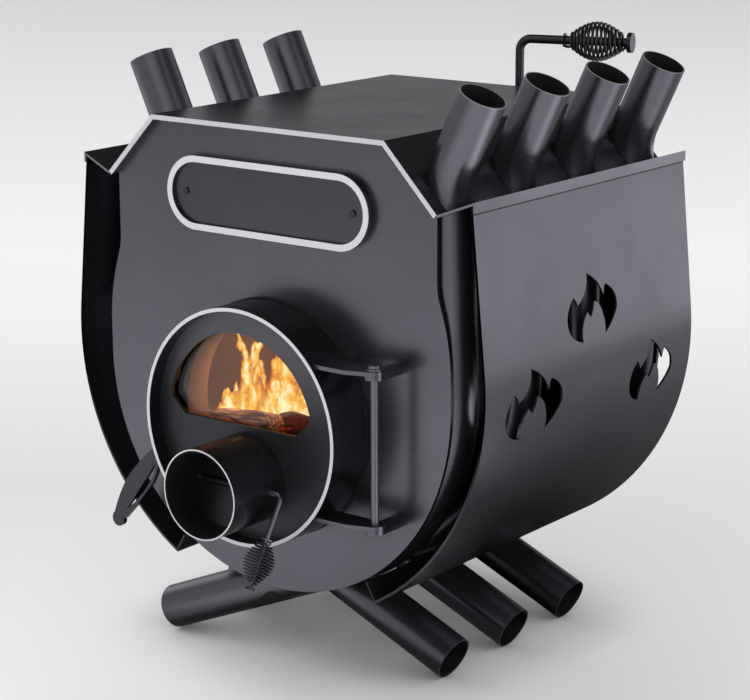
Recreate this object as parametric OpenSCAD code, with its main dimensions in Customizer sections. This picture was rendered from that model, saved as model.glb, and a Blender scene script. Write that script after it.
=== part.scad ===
// Convection wood stove: bent air tubes round a firebox, side casings and a round glass door.
// Millimetres, Z up, the door faces -Y. The floor is at z = 0 and x = 0 is the middle plane.
// Heights named drop are measured down from the hob, and y is measured from the roof's front edge.

/* [Roof] */
// Height of the hob above the floor
hob_z = 686; // [660:1:720]
// Width of the flat hob
hob_w = 360; // [340:1:380]
// Depth of the hob and of the whole roof
roof_depth = 490; // [486:1:540]
// How far the two shoulders, where the sloped plates end, reach past the big bend's radius
shoulder_reach = 7; // [3:0.5:10]
// How far the shoulders lie below the hob
shoulder_drop = 78; // [70:1:84]
// Thickness of the hob and of the sloped plates
roof_t = 6; // [4:0.5:8]

/* [Face and back plates] */
// How far the face plate stands behind the roof's front edge
face_setback = 11; // [8:0.5:14]
// How far the back plate stands in front of the roof's rear edge
back_setback = 9; // [5:0.5:12]
// Thickness of the face and back plates
plate_t = 5; // [4:0.5:6]
// How far the round part of both plates reaches past the big bend's radius
plate_reach = 20; // [14:1:24]
// Drop of the upper centre of that round
plate_upper_drop = 275; // [268:1:282]
// Drop of the lower centre of that round
plate_lower_drop = 312; // [306:1:318]
// Radius that blends the neck into the round
neck_fillet = 80; // [60:1:100]

/* [Convection tubes] */
// Number of bent tubes, alternately turned right and left
tube_count = 7; // [7:1:7]
// Outer diameter of a tube
tube_od = 57; // [54:0.5:59]
// Wall of a tube
tube_wall = 3; // [2:0.5:4]
// Distance between neighbouring tubes
tube_pitch = 66; // [64:0.5:66]
// Distance of the first tube's middle behind the roof's front edge
first_tube_y = 48; // [47:0.5:50]
// Radius of the big bend round the firebox, which is also the x of the upright stretch
tube_bend_r = 248; // [246:0.5:250]
// Drop of the centre of the big bend
tube_bend_drop = 305; // [300:1:310]
// Inward tilt of the risers above the big bend, in degrees
riser_tilt = 2; // [1:0.1:2.5]
// Slope of the straight legs below the level, in degrees
leg_slope = 23; // [21:0.5:25]
// Lean of the top ends away from upright, in degrees
top_lean = 25; // [20:1:28]
// Radius of the bend under the leaning top end
top_bend_r = 90; // [80:1:110]
// How far the middle of a top mouth stands above the hob
top_mouth_rise = 54; // [40:1:70]
// How far the middle of a top mouth stands out past the big bend's radius
top_mouth_out = 36; // [32:0.5:40]

/* [Firebox] */
// Wall of the firebox shell
shell_wall = 4; // [3:0.5:6]
// Drop of the baffle plate over the fire
baffle_drop = 190; // [180:1:200]
// Thickness of the baffle plate
baffle_t = 5; // [4:0.5:8]
// Gap for the smoke in front of the baffle plate
baffle_gap = 120; // [90:1:160]

/* [Side casings] */
// Gap between the big bends and the round part of a casing
casing_gap = 43.5; // [40:0.5:47]
// Drop of the centre of that round
casing_drop = 288; // [284:1:292]
// Inward tilt of the straight part above the round, in degrees
casing_tilt = 5.5; // [5:0.1:6]
// Angle below the level at which a casing ends
casing_end = 60; // [56:0.5:62]
// Thickness of the casing sheet
casing_t = 3; // [2:0.5:4]
// How far the casings stand behind the roof's front edge
casing_front = 6.5; // [4:0.5:10]
// Length of a casing from front to back
casing_len = 464; // [450:1:468]
// Rise of a gutter shelf from the shoulder to the top of the casing
shelf_rise = 19; // [16:1:22]
// Thickness of a gutter shelf
shelf_t = 3; // [2:0.5:4]
// Height of the lip folded down over the casing
lip_h = 10; // [6:1:14]
// Thickness of the strip between a casing and the tubes
strip_t = 3; // [2:0.5:4]

/* [Flame cut-outs] */
// Lower front flame: distance behind the roof's front edge, drop, width and height
flame_low = [109.5, 309, 120, 83.5];
// Upper flame, in the same order
flame_high = [238, 217.5, 112, 82];
// Rear flame, in the same order
flame_rear = [376, 322, 101, 78];
// How much further back the flames of the left casing stand
flame_left_shift = 30; // [0:1:40]

/* [Door] */
// Drop of the middle of the door
door_drop = 359; // [354:1:364]
// Outer diameter of the door ring
ring_od = 296; // [290:1:300]
// Wall of the door ring
ring_wall = 4.5; // [3.5:0.5:7]
// How far the front of the door ring stands in front of the face plate
ring_reach = 67; // [62:1:72]
// Thickness of the door plate
door_plate_t = 5; // [4:0.5:6]
// How deep the door plate lies in the ring
door_recess = 20; // [16:1:24]
// Radius of the collar that the ring closes round
collar_r = 135; // [132:0.5:135]
// Wall of the collar
collar_wall = 4; // [3:0.5:5]
// How far the collar reaches in front of the face plate
collar_reach = 10; // [6:1:12]
// How far the collar reaches into the firebox
collar_inner = 22; // [16:1:40]
// Thickness of the pressed rope seal
seal_t = 4; // [3:0.5:5]
// Width of the rope seal
seal_w = 13; // [10:1:14]

/* [Window] */
// Radius of the window's arch
window_r = 114; // [108:1:116]
// How far the window lies left of the middle of the door
window_shift = 13.5; // [8:0.5:14]
// Height of the window's lower edge over the middle of the door
window_sill = -2; // [-4:0.5:2]
// Height of the two cut lower corners
window_cut_h = 21; // [16:1:24]
// Width of the two cut lower corners
window_cut_w = 22; // [16:1:26]
// Thickness of the glass
glass_t = 4; // [4:0.5:5]
// How far the glass overlaps the door plate round the window
glass_lap = 8; // [6:0.5:8]
// How far the glass overlaps the door plate below the window
glass_lap_low = 5; // [4:0.5:6]
// Thickness of the gasket between glass and plate
gasket_t = 1.5; // [1:0.5:2]
// Thickness of the clips behind the glass
clip_t = 3; // [2:0.5:3]

/* [Air intake] */
// Outer diameter of the intake pipe
intake_od = 112; // [108:1:114]
// Wall of the intake pipe
intake_wall = 3; // [2.5:0.5:4.5]
// How far the intake pipe stands in front of the door ring
intake_reach = 71; // [64:1:78]
// How far the pipe's middle lies below the middle of the door
intake_drop = 66; // [65:0.5:68]
// How far behind the pipe's mouth the throttle spindle lies
throttle_depth = 58.5; // [54:0.5:60]
// Diameter of the bent throttle rod
throttle_rod_d = 6; // [4:0.5:6]
// How far the rod's elbow stands to the right of the pipe's middle
throttle_side = 80; // [76:1:84]
// Length of the lever from its elbow's corner to the end of its handle
throttle_lever_len = 117; // [106:1:120]
// Inward lean of the lever, in degrees
throttle_lean = 4; // [0:0.5:6]
// Angle of the lever forward of straight down at rest
throttle_rest = 27; // [24:1:28]
// Angle of the lever forward of straight down when the throttle is shut
throttle_shut = 8; // [7:1:10]
// Thickness of the throttle disc
throttle_disc_t = 2; // [1.5:0.5:3]

/* [Flue and damper] */
// Outer diameter of the flue spigot
flue_od = 120; // [110:1:130]
// Wall of the flue spigot
flue_wall = 2; // [1.5:0.5:3]
// Drop of the spigot's middle
flue_drop = 105; // [100:1:112]
// How far the spigot stands behind the back plate
flue_len = 120; // [110:1:140]
// Length of the spigot's end that a flue pipe slides over
flue_grip = 40; // [36:0.5:42]
// Width of the groove for the sealing cord before that end
flue_groove_w = 4; // [3:0.5:5]
// Depth of that groove
flue_groove_depth = 0.8; // [0.5:0.1:1]
// How far the damper's rod stands behind the back plate
damper_setback = 62; // [60:1:70]
// Diameter of the damper's rod
damper_rod_d = 12; // [9:0.5:12]
// Height of the damper's handle over the hob
damper_rise = 57; // [54:1:70]
// Distance of the end of the damper's handle from the rod's upright part
damper_reach = 159; // [150:1:180]
// Angle of the handle behind straight across at rest, in degrees
damper_rest = 15; // [10:1:18]
// Thickness of the damper's disc
damper_disc_t = 3; // [2:0.5:4]

/* [Spring handles] */
// Length of the damper's spring handle
damper_spring_len = 88; // [84:1:98]
// Largest outer diameter of the damper's spring handle
damper_spring_d = 54; // [48:1:58]
// Wire of the damper's spring handle
damper_wire_d = 3.8; // [2.5:0.1:4]
// Curls of the damper's spring handle
damper_curls = 13; // [9:1:14]
// Length of the throttle's spring handle
throttle_spring_len = 58; // [54:1:62]
// Largest outer diameter of the throttle's spring handle
throttle_spring_d = 38; // [34:1:39]
// Wire of the throttle's spring handle
throttle_wire_d = 2.2; // [1.6:0.1:2.6]
// Curls of the throttle's spring handle
throttle_curls = 13; // [10:1:15]

/* [Hinge] */
// Distance of the hinge rod to the right of the middle
hinge_x = 187; // [184:1:190]
// Distance of the hinge rod in front of the face plate
hinge_out = 38.5; // [36:0.5:40]
// Height of each hinge arm over or under the middle of the door
hinge_half = 93.5; // [90:0.5:97]
// Thickness of the hinge arms and lugs
hinge_t = 5; // [4:0.5:6]
// Radius of the round ends of the arms and lugs
hinge_end_r = 13; // [11:0.5:14]
// Diameter of the hinge rod
hinge_rod_d = 10; // [8:0.5:11]
// Width of a hinge arm where it meets the door ring
arm_root_w = 36; // [30:1:40]

/* [Latch] */
// Distance of the latch shaft to the left of the middle
latch_x = 150; // [148:0.5:151]
// Distance of the latch shaft below the middle of the door
latch_drop = 53; // [51:0.5:56]
// Diameter of the latch shaft
latch_shaft_d = 8; // [6:0.5:9]
// Outer diameter of the shaft's boss
latch_boss_d = 19; // [15:0.5:20]
// Length of the handle from the shaft to the middle of its round tip
latch_len = 131; // [110:1:135]
// Width of the handle's leaf
latch_w = 36; // [28:1:37]
// Thickness of the handle
latch_t = 6; // [5:0.5:7]
// Angle of the handle at rest, out from straight down
latch_rest = 34; // [30:1:38]
// Length of the cam behind the door ring's side
cam_len = 22; // [21:0.5:23]
// Thickness of the cam
cam_t = 6; // [5:0.5:6]

/* [Nameplate] */
// Length of the plate over the door
badge_w = 314; // [290:1:320]
// Height of the blank plate
badge_h = 92; // [80:1:94]
// Drop of the plate's middle
badge_drop = 91; // [88:1:96]
// Thickness of the plate
badge_t = 5; // [4:0.5:6]
// Width of the raised rim
rim_w = 8; // [6:0.5:10]
// Height of the raised rim over the plate
rim_t = 5; // [3:0.5:6]
// Distance between the two screws
badge_screw_gap = 260; // [240:1:264]

/* [Hidden] */

$fn = 96;
// Small overrun that makes a cut pass right through
cut = 1;
// Gap between curved pieces that are welded or rest on each other
seat_gap = 0.3;
// Hairline seam between the welded stretches of a bent tube
weld_gap = 0.02;
// Radial clearance of a rod that turns in its bore
run_gap = 0.05;
// Extra radius of the hole that a tube or pipe passes through
pass_gap = 0.5;
hole_lean = 5;

// Levels and places shared by the pieces
face_y = face_setback;
back_y = roof_depth - back_setback;
door_z = hob_z - door_drop;
bend_z = hob_z - tube_bend_drop;
tube_r = tube_od / 2;
casing_r = tube_bend_r + tube_r + casing_gap;
plate_r = tube_bend_r + plate_reach;
neck_w = 2 * tube_bend_r;
shoulder_w = 2 * (tube_bend_r + shoulder_reach);
ring_r = ring_od / 2;
ring_front = face_y - ring_reach;
ring_back = face_y - seal_t - seat_gap;
door_face = ring_front + door_recess;
door_back = door_face + door_plate_t;
intake_mouth = ring_front - intake_reach;
intake_z = door_z - intake_drop;
intake_r = intake_od / 2;
throttle_y = intake_mouth + throttle_depth;
flue_z = hob_z - flue_drop;
flue_r = flue_od / 2;
flue_end = back_y + flue_len;
damper_y = back_y + damper_setback;
// Middle of the whole length, which the part is centred on
mid_y = (intake_mouth + flue_end) / 2;

// Roof outline: how the slopes run, and where their undersides meet
slope_run = (shoulder_w - hob_w) / 2;
slope_angle = atan2(shoulder_drop, slope_run);
mitre_x = hob_w / 2 - roof_t * tan(slope_angle / 2);

// Firebox shell just inside the tubes
shell_r = tube_bend_r - tube_r - seat_gap;

// Casing outline
casing_z = hob_z - casing_drop;
shelf_lip_z = hob_z - shoulder_drop + shelf_rise;
casing_top_z = shelf_lip_z - shelf_t / cos(shelf_angle()) - seat_gap - 1
    - (casing_t + 2) * tan(shelf_angle());
casing_top_x = casing_x(casing_top_z);
lip_x = casing_x(shelf_lip_z - shelf_t - lip_h) + seat_gap;

// Hinge and latch places
hinge_y = face_y - hinge_out;
latch_z = door_z - latch_drop;
latch_face = door_face;
cam_front = ring_back - 15;
keeper_lip_t = 5;

// Colours of the finishes
paint = "#4b4b50";
dark = "#2b2b2e";
edge = "#d6d6d6";
steel = "#8a8a8e";

function casing_x(z) = casing_r * cos(casing_tilt)
    - (z - casing_z - casing_r * sin(casing_tilt)) * tan(casing_tilt);
function shelf_angle() = atan2(shelf_rise, casing_x(hob_z - shoulder_drop) - shoulder_w / 2);
function slope_under_z(x) = hob_z - roof_t - (x - mitre_x) * tan(slope_angle);

// Half width at height z between lines tangent to the round of radius r, tilted like the risers
function riser_x(r, z) = (r - (z - bend_z) * sin(riser_tilt)) / cos(riser_tilt);

// Points of an arc from one point to another; bulge is its height, to the right of the way
function arc_between(a, b, bulge, steps = 6) =
    let (chord = norm(b - a), side = [b.y - a.y, a.x - b.x] / chord)
    [for (i = [0 : steps - 1]) let (t = i / steps)
        a + (b - a) * t + side * bulge * 4 * t * (1 - t)];

// Outline through corners, each given as [x, y, bulge of the arc to the next corner]
function outline(corners) = [for (i = [0 : len(corners) - 1])
    let (c = corners[i], d = corners[(i + 1) % len(corners)])
    each arc_between([c.x, c.y], [d.x, d.y], c[2])];

// Where the tangent from p touches the circle round c; side is 1 or -1
function tangent_point(p, c, r, side) =
    let (d = norm(c - p), a = atan2(c.y - p.y, c.x - p.x) + side * asin(r / d))
    p + sqrt(d * d - r * r) * [cos(a), sin(a)];

// Lays a flat outline (x, z) along the depth
module along_y(y0, depth) {
    translate([0, y0 + depth, 0])
        rotate([90, 0, 0])
            linear_extrude(depth)
                children();
}

// Lays a flat outline (y, z) across the width
module along_x(x0, width) {
    translate([x0, 0, 0])
        rotate([90, 0, 90])
            linear_extrude(width)
                children();
}

// Round bar along the depth, with its middle at x and z
module bar_y(x, z, y0, depth, r) {
    translate([x, y0, z])
        rotate([-90, 0, 0])
            cylinder(h = depth, r = r);
}

// Round bar across the width, with its middle at y and z
module bar_x(y, z, x0, width, r) {
    translate([x0, y, z])
        rotate([0, 90, 0])
            cylinder(h = width, r = r);
}

// Shifts a piece so that the stove is centred front to back
module place() {
    translate([0, -mid_y, 0])
        children();
}

module mirrored(side) {
    mirror([side < 0 ? 1 : 0, 0, 0])
        children();
}

// Convection tubes

leg_start = [tube_bend_r * cos(90 - leg_slope), bend_z - tube_bend_r * sin(90 - leg_slope)];
leg_len = (leg_start.y - tube_r * cos(leg_slope)) / sin(leg_slope);
// Corner where the lines of the riser and of the leaning top end meet, under the mouth
mouth = [tube_bend_r + top_mouth_out, hob_z + top_mouth_rise];
corner_z = (mouth.x - riser_x(tube_bend_r, 0) - mouth.y * tan(top_lean))
    / (-tan(riser_tilt) - tan(top_lean));
top_corner = [riser_x(tube_bend_r, corner_z), corner_z];
bend_reach = top_bend_r * tan((top_lean + riser_tilt) / 2);
riser_foot = tube_bend_r * [cos(riser_tilt), sin(riser_tilt)] + [0, bend_z];
riser_len = norm(top_corner - riser_foot) - bend_reach;
top_len = norm(mouth - top_corner) - bend_reach;

// Straight stretch of a tube between two heights
module straight_tube(from, to) {
    difference() {
        translate([0, 0, from])
            cylinder(h = to - from, r = tube_r);
        translate([0, 0, from - cut])
            cylinder(h = to - from + 2 * cut, r = tube_r - tube_wall);
    }
}

// Bent stretch of a tube in the x-z plane, round the origin, from angle a to angle b
module bent_tube(bend_r, a, b) {
    rotate([90, 0, 0])
        rotate([0, 0, a])
            rotate_extrude(angle = b - a)
                translate([bend_r, 0])
                    difference() {
                        circle(tube_r);
                        circle(tube_r - tube_wall);
                    }
}

function tube_side(i) = i % 2 == 0 ? 1 : -1;
function tube_y(i) = first_tube_y + i * tube_pitch;

// Puts a piece on the right riser: its z runs up from the top end of the big bend
module at_riser() {
    translate([riser_foot.x, 0, riser_foot.y])
        rotate([0, -riser_tilt, 0])
            children();
}

module convection_tube(i) {
    bend = top_lean + riser_tilt;
    color(paint)
        place()
            translate([0, tube_y(i), 0])
                mirrored(tube_side(i)) {
                    at_riser() {
                        straight_tube(weld_gap, riser_len - weld_gap);
                        translate([top_bend_r, 0, riser_len])
                            bent_tube(top_bend_r, 180 - bend, 180);
                        translate([top_bend_r * (1 - cos(bend)), 0,
                                   riser_len + top_bend_r * sin(bend)])
                            rotate([0, bend, 0])
                                straight_tube(weld_gap, top_len);
                    }
                    translate([0, 0, bend_z])
                        bent_tube(tube_bend_r, leg_slope - 90, riser_tilt);
                    translate([leg_start.x, 0, leg_start.y])
                        rotate([0, 270 - leg_slope, 0])
                            straight_tube(weld_gap, leg_len);
                }
}

// Holes for the tubes of one side through the roof's slope and shelf, midway between the
// direction of the risers and that of their top bends
module tube_holes(side) {
    hole_r = tube_r + 2.5 * pass_gap;
    for (i = [0 : tube_count - 1])
        if (tube_side(i) == side)
            translate([0, tube_y(i), 0])
                mirrored(side)
                    at_riser()
                        translate([1.2, 0, riser_len])
                            rotate([0, hole_lean, 0])
                                cylinder(h = 2 * shoulder_drop, r = hole_r, center = true);
}

// Roof

module hob_plate() {
    color(paint)
        place()
            along_y(0, roof_depth)
                polygon([[hob_w / 2, hob_z], [-hob_w / 2, hob_z],
                         [-mitre_x, hob_z - roof_t], [mitre_x, hob_z - roof_t]]);
}

module roof_slope(side) {
    shoulder = [shoulder_w / 2, hob_z - shoulder_drop];
    color(paint)
        place()
            difference() {
                mirrored(side)
                    along_y(0, roof_depth)
                        polygon([[hob_w / 2, hob_z], shoulder,
                                 shoulder - roof_t * [sin(slope_angle), cos(slope_angle)],
                                 [mitre_x, hob_z - roof_t]]);
                tube_holes(side);
            }
}

// Shelf that rises from the shoulder to the casing and folds down over it
module gutter_shelf(side) {
    inner = [shoulder_w / 2, hob_z - shoulder_drop];
    outer = [lip_x + shelf_t, shelf_lip_z];
    under = shelf_t / cos(shelf_angle());
    color(paint)
        place()
            difference() {
                intersection() {
                    mirrored(side)
                        along_y(0, roof_depth)
                            polygon([inner, outer, outer - [0, shelf_t + lip_h],
                                     [lip_x, outer.y - shelf_t - lip_h],
                                     [lip_x, outer.y - under - 1], inner - [0, under]]);
                    mirrored(side)
                        translate([0, 0, inner.y - 2 * shoulder_drop])
                            linear_extrude(4 * shoulder_drop)
                                polygon([[inner.x, 0], [outer.x, casing_front],
                                         [outer.x, casing_front + casing_len],
                                         [inner.x, roof_depth]]);
                }
                tube_holes(side);
            }
}

// Face and back plates, both with a neck under the roof and a round lower part

module body_outline() {
    upper = hob_z - plate_upper_drop;
    lower = hob_z - plate_lower_drop;
    half = neck_w / 2;
    // Centre and height of the hollow arc that blends the neck into the round
    blend_x = half + neck_fillet;
    blend_h = sqrt(pow(plate_r + neck_fillet, 2) - pow(blend_x, 2));
    touch = [blend_x, blend_h] * plate_r / (plate_r + neck_fillet);
    for (z = [lower, upper])
        translate([0, z])
            circle(plate_r);
    polygon([[mitre_x, hob_z - roof_t], [-mitre_x, hob_z - roof_t],
             [-half, slope_under_z(half)], [-half, upper], [-plate_r, upper], [-plate_r, lower],
             [plate_r, lower], [plate_r, upper], [half, upper], [half, slope_under_z(half)]]);
    for (s = [-1, 1])
        difference() {
            polygon([for (p = [[half - 10, touch.y], touch, [half, blend_h], [half - 10, blend_h]])
                     [s * p.x, upper + p.y]], [s > 0 ? [0, 1, 2, 3] : [3, 2, 1, 0]]);
            translate([s * blend_x, upper + blend_h])
                circle(neck_fillet);
        }
}

module face_plate() {
    color(paint)
        place()
            difference() {
                along_y(face_y, plate_t)
                    difference() {
                        intersection() {
                            body_outline();
                            under_roof();
                        }
                        translate([0, door_z])
                            circle(collar_r);
                    }
                for (s = [-1, 1])
                    bar_y(s * badge_screw_gap / 2, hob_z - badge_drop, face_y - cut,
                          plate_t + 2 * cut, badge_screw_r);
            }
}

// Everything below the roof's undersides
module under_roof() {
    far = 2 * plate_r;
    polygon([[mitre_x, hob_z - roof_t], [-mitre_x, hob_z - roof_t], [-far, slope_under_z(far)],
             [-far, -far], [far, -far], [far, slope_under_z(far)]]);
}

module back_plate() {
    color(paint)
        place()
            along_y(back_y - plate_t, plate_t)
                difference() {
                    intersection() {
                        body_outline();
                        under_roof();
                    }
                    translate([0, flue_z])
                        circle(flue_r + run_gap);
                }
}

// Firebox

module shell_outline(r) {
    start = bend_z + r * sin(riser_tilt);
    translate([0, bend_z])
        circle(r);
    polygon([[-riser_x(r, start), start], [riser_x(r, start), start],
             [riser_x(r, hob_z), hob_z], [-riser_x(r, hob_z), hob_z]]);
}

module firebox_shell() {
    color(dark)
        place()
            along_y(face_y + plate_t, back_y - face_y - 2 * plate_t)
                intersection() {
                    difference() {
                        shell_outline(shell_r);
                        shell_outline(shell_r - shell_wall);
                    }
                    under_roof();
                }
}

module baffle_plate() {
    half = riser_x(shell_r - shell_wall, hob_z - baffle_drop + baffle_t) - seat_gap;
    front = face_y + plate_t + baffle_gap;
    color(dark)
        place()
            translate([-half, front, hob_z - baffle_drop])
                cube([2 * half, back_y - plate_t - front, baffle_t]);
}

// Side casings

module casing_section() {
    tangent = casing_r * [cos(casing_tilt), sin(casing_tilt)];
    inner_r = casing_r - casing_t;
    far = 2 * casing_r;
    intersection() {
        translate([0, casing_z])
            difference() {
                circle(casing_r, $fn = 180);
                circle(inner_r, $fn = 180);
            }
        translate([0, casing_z])
            polygon([[0, 0], far * [cos(casing_end), -sin(casing_end)],
                     far * [cos(casing_tilt), sin(casing_tilt)]]);
    }
    polygon([[0, casing_z] + tangent, [casing_top_x, casing_top_z],
             [casing_top_x - casing_t / cos(casing_tilt), casing_top_z],
             [0, casing_z] + tangent * inner_r / casing_r]);
}

// A flame with three tongues and an open foot, w wide and h high
module flame(w, h) {
    corners = [[-0.08, 0.50, -0.07], [-0.28, 0.06, 0.01], [-0.36, 0.20, 0.03], [-0.50, -0.12, 0.09],
               [-0.21, -0.50, -0.05], [-0.10, -0.07, 0.01], [-0.03, -0.16, 0.01], [0.05, 0.06, -0.03],
               [0.20, -0.16, -0.02], [0.23, -0.47, 0.03], [0.50, -0.12, 0.07], [0.28, 0.27, 0.01],
               [0.24, 0.11, 0.05]];
    polygon([for (p = outline(corners)) [p.x * w, p.y * h]]);
}

module casing(side) {
    shift = side < 0 ? flame_left_shift : 0;
    color(paint)
        place()
            mirrored(side)
                difference() {
                    along_y(casing_front, casing_len)
                        casing_section();
                    for (f = [flame_low, flame_high, flame_rear])
                        translate([0, f[0] + shift, hob_z - f[1]])
                            along_x(shell_r, casing_r)
                                flame(f[2], f[3]);
                }
}

// Strip along the lower edge of a casing, which spaces it from the tubes
module casing_strip(side) {
    offset_z = tube_bend_drop - casing_drop;
    reach = tube_r + tube_bend_r + seat_gap + 0.1;
    half_t = offset_z * sin(casing_end);
    inner_r = half_t + sqrt(half_t * half_t + reach * reach - offset_z * offset_z);
    color(paint)
        place()
            mirrored(side)
                translate([0, casing_front, casing_z])
                    rotate([0, casing_end, 0])
                        translate([inner_r, 0, 0])
                            cube([casing_r - casing_t - inner_r, casing_len, strip_t]);
}

// Door collar and seal on the face plate

module door_collar() {
    color(dark)
        place()
            difference() {
                bar_y(0, door_z, face_y - collar_reach, collar_reach + plate_t + collar_inner,
                      collar_r - run_gap);
                bar_y(0, door_z, face_y - collar_reach - cut,
                      collar_reach + plate_t + collar_inner + 2 * cut, collar_r - collar_wall);
            }
}

module rope_seal() {
    inner = collar_r + cut;
    color("#1d1c1b")
        place()
            difference() {
                bar_y(0, door_z, face_y - seal_t, seal_t, inner + seal_w);
                bar_y(0, door_z, face_y - seal_t - cut, seal_t + 2 * cut, inner);
            }
}

// Door

module door_ring() {
    color(paint)
        place()
            difference() {
                bar_y(0, door_z, ring_front, ring_back - ring_front, ring_r);
                bar_y(0, door_z, ring_front - cut, ring_back - ring_front + 2 * cut,
                      ring_r - ring_wall);
            }
}

// Window outline in the door's own plane; grow widens it, low lowers its sill
module window_outline(grow, low) {
    half = window_r - 4 + grow;
    sill = window_sill - low;
    translate([-window_shift, 0])
        intersection() {
            translate([0, window_sill])
                circle(window_r + grow);
            polygon([[-half + window_cut_w, sill], [half - window_cut_w, sill],
                     [half, sill + window_cut_h], [half + 2 * cut, 2 * window_r],
                     [-half - 2 * cut, 2 * window_r], [-half, sill + window_cut_h]]);
        }
}

module door_plate() {
    color(paint)
        place()
            difference() {
                bar_y(0, door_z, door_face, door_plate_t, ring_r - ring_wall);
                translate([0, 0, door_z])
                    along_y(door_face - cut, door_plate_t + 2 * cut)
                        window_outline(0, 0);
                bar_y(0, intake_z, door_face - cut, door_plate_t + 2 * cut, intake_r);
            }
}

module window_gasket() {
    color("#3a3733")
        place()
            translate([0, 0, door_z])
                along_y(door_back, gasket_t)
                    difference() {
                        window_outline(glass_lap, glass_lap_low);
                        window_outline(cut, cut);
                    }
}

module window_glass() {
    color("#d9863a")
        place()
            translate([0, 0, door_z])
                along_y(door_back + gasket_t, glass_t)
                    window_outline(glass_lap, glass_lap_low);
}

// Places of the clips round the glass: angle on the arch
clip_angles = [28, 72, 118, 158];
clip_foot = 7;
clip_w = 16;
clip_lap = 5;
clip_screw_r = 2.5;
clip_rise = gasket_t + glass_t;

// Puts a clip's own frame at the glass edge: its x runs outwards and its z to the back
module at_clip(angle) {
    translate([-window_shift, door_back, door_z + window_sill])
        rotate([0, -angle, 0])
            translate([window_r + glass_lap + seat_gap, 0, 0])
                rotate([-90, 0, 0])
                    children();
}

module window_clips() {
    color(steel)
        place()
            intersection() {
                bar_y(0, door_z, door_back, clip_rise + clip_t, ring_r - ring_wall - seat_gap);
                for (a = clip_angles)
                    at_clip(a)
                        difference() {
                            union() {
                                translate([0, -clip_w / 2, 0])
                                    cube([clip_foot, clip_w, clip_rise + clip_t]);
                                translate([-clip_lap, -clip_w / 2, clip_rise])
                                    cube([clip_lap, clip_w, clip_t]);
                            }
                            translate([clip_foot / 2, 0, -cut])
                                cylinder(h = clip_rise + clip_t + 2 * cut, r = clip_screw_r);
                        }
            }
}

module clip_screws() {
    color(steel)
        place()
            for (a = clip_angles)
                at_clip(a) {
                    translate([clip_foot / 2, 0, 0])
                        cylinder(h = clip_rise + clip_t, r = clip_screw_r - run_gap);
                    translate([clip_foot / 2, 0, clip_rise + clip_t])
                        cylinder(h = 2, r = clip_screw_r + 1);
                }
}

// Air intake and its throttle

module intake_pipe() {
    color(paint)
        place()
            difference() {
                bar_y(0, intake_z, intake_mouth, door_back - intake_mouth, intake_r - run_gap);
                bar_y(0, intake_z, intake_mouth - cut, door_back - intake_mouth + 2 * cut,
                      intake_r - intake_wall);
                bar_x(throttle_y, intake_z, -intake_r - cut, intake_od + 2 * cut,
                      throttle_rod_d / 2 + run_gap);
            }
}

throttle_boss_r = 6.5;
throttle_boss_end = intake_r + 5;

module throttle_bosses() {
    color(dark)
        place()
            difference() {
                for (s = [0, 1])
                    bar_x(throttle_y, intake_z, -throttle_boss_end + s * throttle_boss_end,
                          throttle_boss_end, throttle_boss_r);
                bar_y(0, intake_z, intake_mouth, door_back - intake_mouth, intake_r);
                bar_x(throttle_y, intake_z, -intake_od, 2 * intake_od,
                      throttle_rod_d / 2 + run_gap);
            }
}

// Puts a piece in the throttle's own frame: its x along the spindle, -z down the lever
module at_throttle(angle) {
    translate([0, throttle_y, intake_z])
        rotate([-angle, 0, 0])
            children();
}

throttle_hub_r = 5;
// How far the hub of a disc ends short of the disc's edge
hub_short = 8;
throttle_disc_r = intake_r - intake_wall - 1;

module throttle_disc() {
    hub = 2 * (throttle_disc_r - hub_short);
    color(dark)
        place()
            at_throttle(throttle_rest - throttle_shut)
                difference() {
                    union() {
                        translate([0, -throttle_disc_t / 2, 0])
                            rotate([-90, 0, 0])
                                cylinder(h = throttle_disc_t, r = throttle_disc_r);
                        bar_x(0, 0, -hub / 2, hub, throttle_hub_r);
                    }
                    bar_x(0, 0, -intake_od, 2 * intake_od, throttle_rod_d / 2);
                }
}

throttle_elbow_r = 8;
throttle_collar_r = 8.5;
throttle_collar_t = 2;
throttle_cap_t = 3;
throttle_cap_r = 6;
throttle_rod_len = throttle_lever_len - throttle_cap_t - throttle_spring_len - throttle_collar_t;

// Puts a piece on the lever: its -z runs down the lever from the elbow's corner
module at_throttle_handle() {
    at_throttle(throttle_rest)
        translate([throttle_side, 0, 0])
            rotate([0, throttle_lean, 0])
                children();
}

module throttle_lever() {
    elbow = throttle_elbow_r;
    reach = elbow * (1 + sin(throttle_lean)) / cos(throttle_lean);
    rod_r = throttle_rod_d / 2;
    left = -throttle_boss_end - 2;
    color(steel)
        place() {
            at_throttle(throttle_rest) {
                bar_x(0, 0, left, throttle_side - reach - left, rod_r);
                translate([throttle_side - reach, 0, -elbow])
                    rotate([90, 0, 0])
                        rotate([0, 0, -throttle_lean])
                            rotate_extrude(angle = 90 + throttle_lean)
                                translate([elbow, 0])
                                    circle(rod_r);
            }
            at_throttle_handle() {
                translate([0, 0, throttle_cap_t - throttle_lever_len])
                    cylinder(h = throttle_lever_len - throttle_cap_t - reach, r = rod_r);
                translate([0, 0, -throttle_rod_len - throttle_collar_t])
                    cylinder(h = throttle_collar_t, r = throttle_collar_r);
            }
        }
}

module throttle_cap() {
    color(steel)
        place()
            at_throttle_handle()
                translate([0, 0, -throttle_lever_len])
                    cylinder(h = throttle_cap_t, r = throttle_cap_r);
}

// Spring handles: one wire wound in a spindle shape, with straight ends square to their seats

wire_sides = 6;
curl_rings = 8;

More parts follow.
